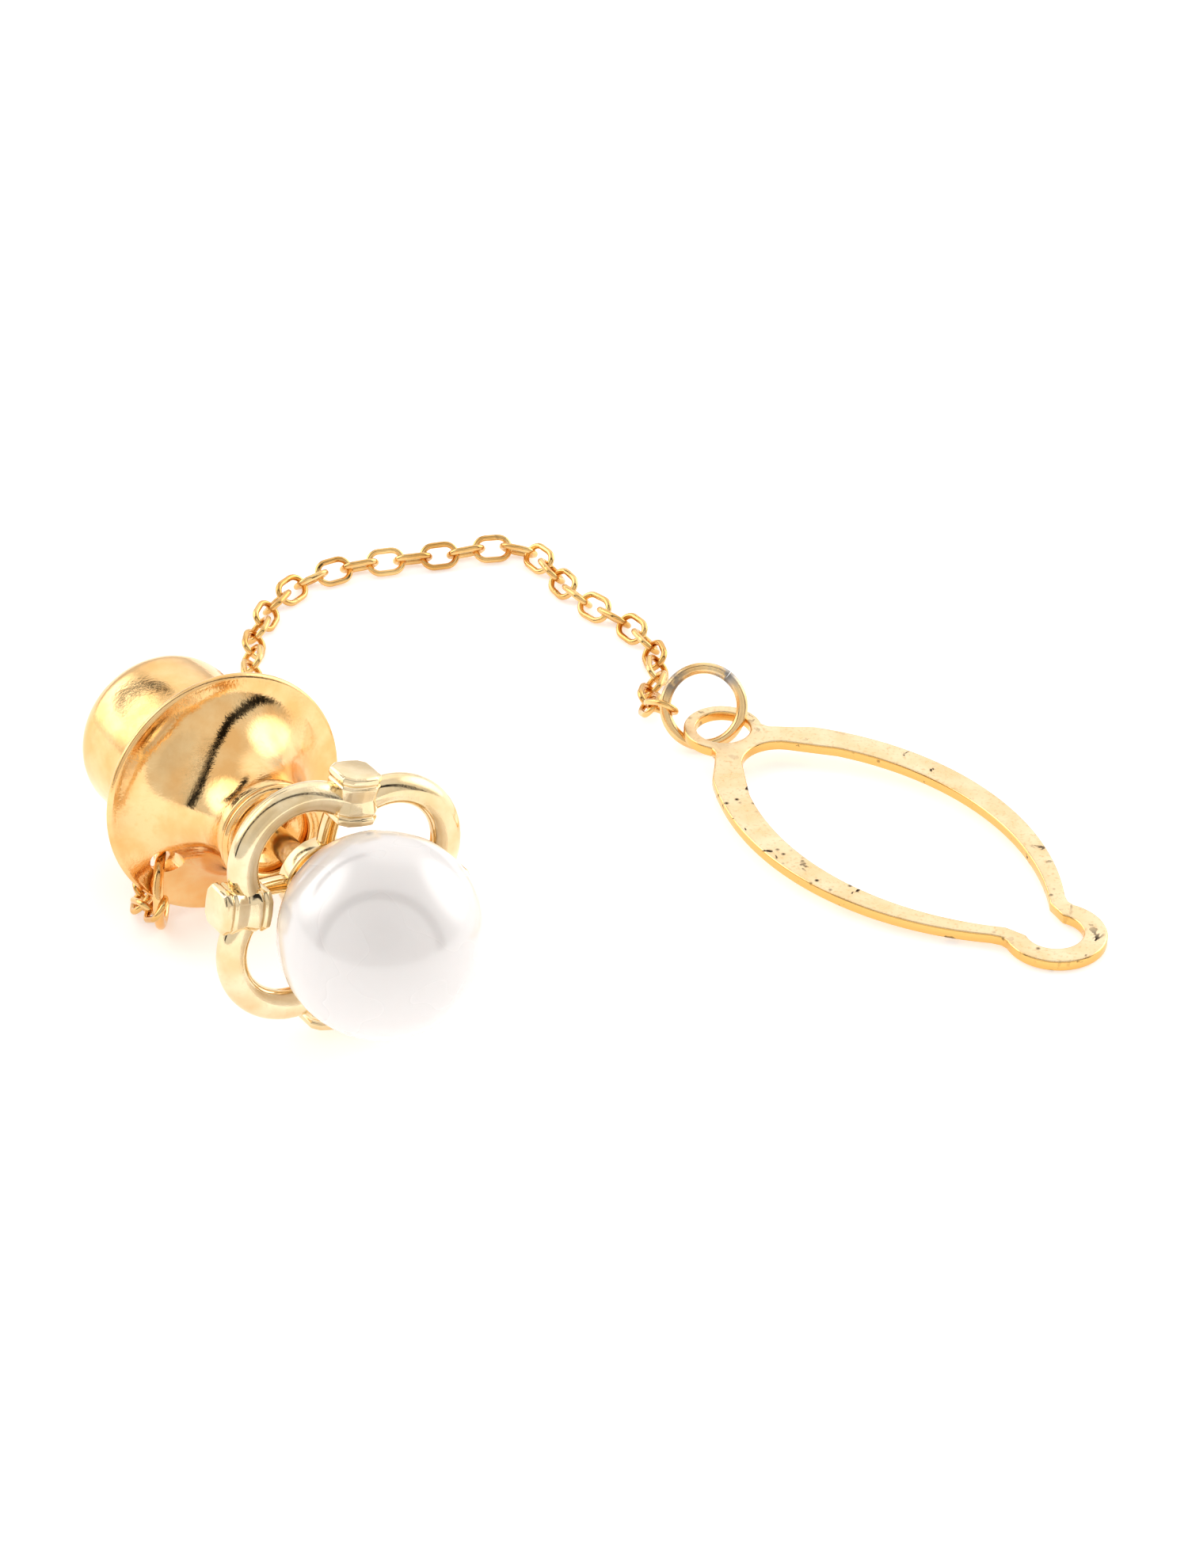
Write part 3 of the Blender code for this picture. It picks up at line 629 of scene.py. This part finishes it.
def clutch_cap(tack, material):
    """The barrel-shaped cap with its domed end."""
    angle = math.acos((CAP_MOUTH_RADIUS - CAP_SIDE_CENTRE) / (CAP_RADIUS - CAP_SIDE_CENTRE))
    rise = (CAP_MOUTH - CAP_WIDEST) / math.sin(angle)
    side = arc((CAP_SIDE_CENTRE, CAP_WIDEST), (CAP_RADIUS - CAP_SIDE_CENTRE, rise),
               math.degrees(angle), 0.0, 26)
    end = arc((0.0, CAP_WIDEST), (CAP_RADIUS, CAP_WIDEST - CAP_END), 0.0, -90.0, 32)
    thin = CAP_RADIUS - CAP_WALL
    inside = arc((0.0, CAP_WIDEST), (thin, CAP_WIDEST - CAP_END - CAP_WALL), -90.0, 0.0, 16)
    end[-1] = (0.0, CAP_END)
    inside[0] = (0.0, CAP_END + CAP_WALL)
    mouth = [(CAP_INSIDE_RADIUS, CAP_INSIDE_END), (CAP_INSIDE_RADIUS, CAP_MOUTH - CAP_LIP),
             (CAP_INSIDE_RADIUS + CAP_LIP, CAP_MOUTH)]
    profile = side + end[1:] + inside + mouth
    piece = to_object(lathe(profile, 180, True), "clutch_cap_fine", tack)
    fit(piece, material, "cap", "clutch_cap")


def pearl(tack, material):
    """The pearl, drilled at the back for its peg."""
    reach = math.degrees(math.asin(PEARL_DRILLING / PEARL_RADIUS))
    skin = arc((0.0, PEARL_CENTRE), (PEARL_RADIUS, PEARL_RADIUS), 90.0, -90.0 + reach, 72)
    skin[0] = (0.0, PEARL_CENTRE + PEARL_RADIUS)
    profile = skin + [(PEARL_DRILLING, DRILLING_END), (0.0, DRILLING_END)]
    piece = to_object(lathe(profile, 128, False), "pearl_fine", tack)
    fit(piece, material, "head", "pearl")


def pearl_cup(tack, material):
    """The dished seat behind the pearl, with the peg that goes into it."""
    dish = arc((0.0, PEARL_CENTRE), (SEAT_RADIUS, SEAT_RADIUS), *SEAT_ARC, 16)
    across, height = dish[-1]
    lip = [(across + out, height + up) for out, up in CUP_LIP]
    profile = [(0.0, PEG_END), (PEG_RADIUS, PEG_END)] + dish + lip
    profile += [(CUP_BACK_RADIUS, CUP_BACK), (0.0, CUP_BACK)]
    piece = to_object(lathe(profile, 96, False), "pearl_cup_fine", tack)
    fit(piece, material, "head", "pearl_cup")


def collar(angle, tack):
    """A faceted clasp: banded ends, a drawn-in waist and a ridge along its top and underside."""
    bm = bmesh.new()
    rings = []
    for reach, size in COLLAR_STATIONS:
        w, h, c = COLLAR_HALF_WIDTH * size, COLLAR_HALF_HEIGHT * size, COLLAR_CHAMFER * size
        top = h + COLLAR_RIDGE * size
        section = ((w, -h + c), (w, 0.0), (w, h - c), (w - c, h), (0.0, top), (-w + c, h),
                   (-w, h - c), (-w, 0.0), (-w, -h + c), (-w + c, -h), (0.0, -top), (w - c, -h))
        rings.append([bm.verts.new((reach, y, z)) for y, z in section])
    for first, second in zip(rings, rings[1:]):
        for k in range(len(first)):
            j = (k + 1) % len(first)
            bm.faces.new((first[k], first[j], second[j], second[k]))
    bm.faces.new(rings[0][::-1])
    bm.faces.new(rings[-1])
    bmesh.ops.bevel(bm, geom=bm.edges[:], offset=COLLAR_ROUNDING, segments=3, affect="EDGES",
                    profile=0.5, clamp_overlap=True)
    turn = Matrix.Rotation(angle, 4, "Z") @ Matrix.Translation((COLLAR_DISTANCE, 0.0, FRAME_PLANE))
    bmesh.ops.transform(bm, matrix=turn, verts=bm.verts)
    return to_object(bm, "collar", tack)


def ornament(tack, material):
    """The cast frame: four arched bars, four faceted collars, four arms and a hub."""
    low, high = FRAME_HUB_FACES
    corner = (FRAME_HUB_ROUNDING, FRAME_HUB_ROUNDING)
    hub = arc((FRAME_HUB_RADIUS, high - FRAME_HUB_ROUNDING), corner, 90.0, 0.0, 4)
    hub += arc((FRAME_HUB_RADIUS, low + FRAME_HUB_ROUNDING), corner, 0.0, -90.0, 4)
    hub += [(FRAME_HUB_HOLE, low), (FRAME_HUB_HOLE, high)]
    piece = to_object(lathe(hub, 64, True), "ornament_frame_fine", tack)
    helpers = []
    for quarter in range(4):
        angle = COLLAR_ANGLE + quarter * math.pi / 2
        middle = angle + math.pi / 4
        centre = LOBE_OFFSET * Vector((math.cos(middle), math.sin(middle), 0.0))
        centre.z = FRAME_PLANE
        bar = []
        for step in range(2 * LOBE_HALF_STEPS + 1):
            swing = middle + math.radians(LOBE_SWEEP * (step / LOBE_HALF_STEPS - 1))
            bar.append(centre + LOBE_RADIUS * Vector((math.cos(swing), math.sin(swing), 0.0)))
        helpers.append(to_object(swept(bar, circle_section(BAR_RADIUS, 36), False), "lobe", tack))
        helpers.append(collar(angle, tack))
        outwards = Vector((math.cos(angle), math.sin(angle), 0.0))
        course = arc(ARM_CENTRE, ARM_RADII, *ARM_ARC, 10)
        arm = [outwards * reach + Vector((0, 0, height)) for reach, height in course]
        helpers.append(to_object(swept(arm, circle_section(ARM_RADIUS, 16), False), "arm", tack))
    combine(piece, helpers, "UNION")
    fit(piece, material, "head", "ornament_frame")


def post(tack, material):
    """The pin, with two turned gripping grooves and a rounded point."""
    profile = [(0.0, POST_TOP), (POST_RADIUS, POST_TOP)]
    for top in GROOVE_TOPS:
        profile += [(radius, top - below) for radius, below in GROOVE]
    profile += POINT
    piece = to_object(lathe(profile, 48, False), "tack_post_fine", tack)
    fit(piece, material, "head", "tack_post")


def chain(material):
    """Oval wire links, hooked into each other and leaning alternately left and right."""
    hooks = [Vector(joints[f"link_{n:02d}_swing"]["pos_m"]) for n in range(1, LINK_COUNT + 1)]
    hooks.append(Vector(joints["large_ring_swing"]["pos_m"]))
    half = LINK_WIDTH / 2 - LINK_WIRE / 2
    overlap = (LINK_WIRE + LINK_GAP) / 2
    section = circle_section(LINK_WIRE_DRAWN / 2, 16)
    for n in range(LINK_COUNT):
        pitch = (hooks[n + 1] - hooks[n]).length / MM
        near, far = -overlap + half, pitch + overlap - half
        ends = arc((near, 0.0), (half, half), 90.0, 270.0, 14)
        ends += arc((far, 0.0), (half, half), -90.0, 90.0, 14)
        bm = swept([(x, 0.0, z) for x, z in ends], section, True)
        piece = to_object(bm, f"link_{n + 1:02d}_fine", link_frame(hooks[n], hooks[n + 1], n))
        fit(piece, material, f"link_{n + 1:02d}", f"chain_link_{n + 1:02d}")


def clutch_ring(material):
    """The closed ring that goes through the flange's hole."""
    radius, wire = CLUTCH_RING
    path = [(x, 0.0, z) for x, z in circle_section(radius, 72)]
    piece = to_object(swept(path, circle_section(wire, 18), True), "clutch_ring_fine", ring_frame())
    fit(piece, material, "ring", "clutch_ring")


def large_ring_frame():
    """The jump ring leans back, with its Y axis through its hole."""
    return Matrix.Translation(box_centre("large_ring")) @ Matrix.Rotation(-LARGE_RING_LEAN, 4, "X")


def large_ring(material):
    """The jump ring, with its butted seam left open by a hair."""
    radius, wire = LARGE_RING
    path = []
    for i in range(RING_STEPS + 1):
        angle = RING_SEAM + SEAM_WIDTH / 2 + (2 * math.pi - SEAM_WIDTH) * i / RING_STEPS
        path.append((radius * math.cos(angle), 0.0, radius * math.sin(angle)))
    piece = to_object(swept(path, circle_section(wire, 24), False), "large_ring_fine", large_ring_frame())
    fit(piece, material, "large_ring", "large_ring")


def mirrored(upper):
    """A whole outline from its upper half."""
    return upper + [(x, -y) for x, y in reversed(upper) if y > 1e-6]


def plate_outlines():
    """The loop's outer edge, its eye and the hole in its ear."""
    outer = round_arc(EAR_ARC, 22) + NECK + round_arc(SIDE_ARC, 60) + WAIST + round_arc(TIP_ARC, 26)
    eye = round_arc(EYE_NEAR_ARC, 12) + round_arc(EYE_SIDE_ARC, 56) + round_arc(EYE_TIP_ARC, 20)
    return mirrored(outer), mirrored(eye), round_arc(EAR_HOLE_ARC, 71)


def button_loop(matrix, material):
    """The flat loop, stamped from plate with rounded edges."""
    drawing = bpy.data.curves.new("button_loop_outline", "CURVE")
    drawing.dimensions = "2D"
    drawing.fill_mode = "BOTH"
    for outline in plate_outlines():
        line = drawing.splines.new("POLY")
        line.points.add(len(outline) - 1)
        for point, (x, y) in zip(line.points, outline):
            point.co = (x, y, 0.0, 1.0)
        line.use_cyclic_u = True
    drawing.extrude = PLATE_THICKNESS / 2 - PLATE_EDGE
    drawing.bevel_depth = PLATE_EDGE
    drawing.bevel_resolution = 4
    drawing.offset = -PLATE_EDGE
    helper = bpy.data.objects.new("outline", drawing)
    bpy.context.scene.collection.objects.link(helper)
    bpy.context.view_layer.update()
    evaluated = helper.evaluated_get(bpy.context.evaluated_depsgraph_get())
    bm = bmesh.new()
    bm.from_mesh(bpy.data.meshes.new_from_object(evaluated))
    bpy.data.objects.remove(helper)
    bmesh.ops.remove_doubles(bm, verts=bm.verts, dist=0.0005)
    bmesh.ops.translate(bm, vec=(0.0, 0.0, PLATE_THICKNESS / 2), verts=bm.verts)
    piece = to_object(bm, "button_loop_fine", matrix)
    evener = piece.modifiers.new("even_faces", "WEIGHTED_NORMAL")
    evener.weight = 100
    evener.keep_sharp = True
    fit(piece, material, "loop", "button_loop")


# --- Studio -------------------------------------------------------------------------------


def floor():
    """A white table top just under the piece."""
    mesh = bpy.data.meshes.new("floor")
    side = FLOOR_HALF_SIDE
    corners = [(-side, -side, 0), (side, -side, 0), (side, side, 0), (-side, side, 0)]
    mesh.from_pydata(corners, [], [(0, 1, 2, 3)])
    table = bpy.data.objects.new("floor", mesh)
    bpy.context.scene.collection.objects.link(table)
    table.location.z = -FLOOR_DROP
    s = Shade("white_table")
    s.shade("Base Color", (0.93, 0.93, 0.93, 1.0))
    s.shade("Roughness", 0.9)
    s.shade("Specular IOR Level", 0.1)
    s.shade("Emission Color", (1.0, 1.0, 1.0, 1.0))
    s.shade("Emission Strength", 0.34)
    mesh.materials.append(s.material)


def studio_world():
    """A white tent: a narrow dark gap over its front, a short one behind, and bright patches."""
    world = bpy.data.worlds.new("tent")
    bpy.context.scene.world = world
    world.use_nodes = True
    tree = world.node_tree
    background = tree.nodes["Background"]
    direction = tree.nodes.new("ShaderNodeTexCoord").outputs["Generated"]
    split = tree.nodes.new("ShaderNodeSeparateXYZ")
    tree.links.new(direction, split.inputs[0])
    x, y, z = split.outputs

    def calc(operation, a, b=0.0):
        made = tree.nodes.new("ShaderNodeMath")
        made.operation = operation
        for index, value in enumerate((a, b)):
            if isinstance(value, bpy.types.NodeSocket):
                tree.links.new(value, made.inputs[index])
            else:
                made.inputs[index].default_value = value
        return made.outputs[0]

    def step(value, low, high, bottom, top):
        made = tree.nodes.new("ShaderNodeMapRange")
        made.interpolation_type = "SMOOTHSTEP"
        tree.links.new(value, made.inputs[0])
        for index, number in enumerate((low, high, bottom, top), 1):
            made.inputs[index].default_value = number
        return made.outputs[0]

    sky = step(z, *SKY_STEP)
    front = calc("ADD", calc("MULTIPLY", y, -math.cos(CAMERA_ELEVATION)),
                 calc("MULTIPLY", z, math.sin(CAMERA_ELEVATION)))
    lens_opening = step(front, *LENS_STEP)
    middle = calc("SUBTRACT", calc("MULTIPLY", z, FRONT_GAP_SLOPE), FRONT_GAP_OFFSET)
    front_gap = step(calc("ABSOLUTE", calc("SUBTRACT", y, middle)), *FRONT_GAP_STEP)
    back_gap = step(calc("ABSOLUTE", calc("SUBTRACT", y, z)), *BACK_GAP_STEP)
    back_gap = calc("MULTIPLY", back_gap, step(x, *BACK_GAP_SIDE_STEP))
    gap = calc("MAXIMUM", front_gap, calc("MULTIPLY", back_gap, step(z, *BACK_GAP_HEIGHT_STEP)))
    glow = 1.0
    for place, gain in SOFT_PATCHES:
        towards = tree.nodes.new("ShaderNodeVectorMath")
        towards.operation = "DOT_PRODUCT"
        tree.links.new(direction, towards.inputs[0])
        towards.inputs[1].default_value = Vector(place).normalized()
        glow = calc("ADD", step(towards.outputs["Value"], *PATCH_EDGE, 0.0, gain), glow)
    level = calc("MULTIPLY", calc("MULTIPLY", sky, lens_opening), glow)
    level = calc("MULTIPLY", level, calc("SUBTRACT", 1.0, calc("MULTIPLY", gap, GAP_DARKNESS)))
    tree.links.new(level, background.inputs["Strength"])
    background.inputs["Color"].default_value = TENT_COLOUR


def softbox(name, place, size, power):
    """An area light aimed at the origin, which polished surfaces don't reflect."""
    light = bpy.data.lights.new(name, "AREA")
    light.shape = "RECTANGLE"
    light.size, light.size_y = size
    light.energy = power
    lamp = bpy.data.objects.new(name, light)
    bpy.context.scene.collection.objects.link(lamp)
    lamp.visible_glossy = False
    lamp.location = place
    lamp.rotation_euler = (-Vector(place)).to_track_quat("-Z", "Y").to_euler()


def camera():
    """The view from the front, looking down at the target."""
    data = bpy.data.cameras.new("camera")
    data.sensor_width = CAMERA_SENSOR
    data.lens = CAMERA_LENS
    data.clip_start = 0.01
    data.clip_end = 10.0
    eye = bpy.data.objects.new("camera", data)
    bpy.context.scene.collection.objects.link(eye)
    away = Vector((0.0, -math.cos(CAMERA_ELEVATION), math.sin(CAMERA_ELEVATION)))
    eye.location = CAMERA_TARGET + away * CAMERA_DISTANCE
    eye.rotation_euler = (math.pi / 2 - CAMERA_ELEVATION, 0.0, 0.0)
    bpy.context.scene.camera = eye


def main():
    tack = tack_frame()
    axis = tack.to_3x3() @ Vector((0, 0, 1))
    plate = loop_frame()
    ring = large_ring_frame()

    def on_ring(degrees):
        swing = math.radians(degrees)
        return ring @ (Vector((math.cos(swing), 0.0, math.sin(swing))) * LARGE_RING[0] * MM)

    spots = [(on_ring(degrees), radius, colour) for degrees, radius, colour in RING_SPOTS]
    clutch = gold("clutch_gold_fine", *CLUTCH_GOLD, wave=(900.0, 1.3e-5), scratch=0.16, grain=4e-6)
    frame_gold = gold("frame_gold_fine", *FRAME_GOLD, wave=(800.0, 8e-6), scratch=0.08)
    chain_gold = gold("chain_gold_fine", *CHAIN_GOLD, wave=(2200.0, 1.0e-5), scratch=0.15, pits=0.4)
    ring_gold = gold("ring_gold_fine", *RING_GOLD, wave=(1200.0, 8e-6), scratch=0.15, pits=0.35,
                     spots=spots)
    steel = drawn_steel("spring_steel_fine")

    clutch_housing(tack, clutch)
    mouth_ring(tack, clutch)
    clutch_cap(tack, clutch)
    pearl(tack, nacre("pearl_fine", axis))
    pearl_cup(tack, frame_gold)
    ornament(tack, frame_gold)
    post(tack, frame_gold)
    chain(chain_gold)
    clutch_ring(clutch)
    large_ring(ring_gold)
    button_loop(plate, satin_loop("loop_gold_fine", plate.to_3x3() @ Vector((0, 0, 1))))
    for node in ("locking_collet", "retaining_washer", "collet_spring"):
        for holder in frame["nodes"][node].material_slots:
            holder.material = steel

    floor()
    studio_world()
    for box in SOFTBOXES:
        softbox(*box)
    camera()
    bpy.context.scene.view_settings.view_transform = "Standard"


main()
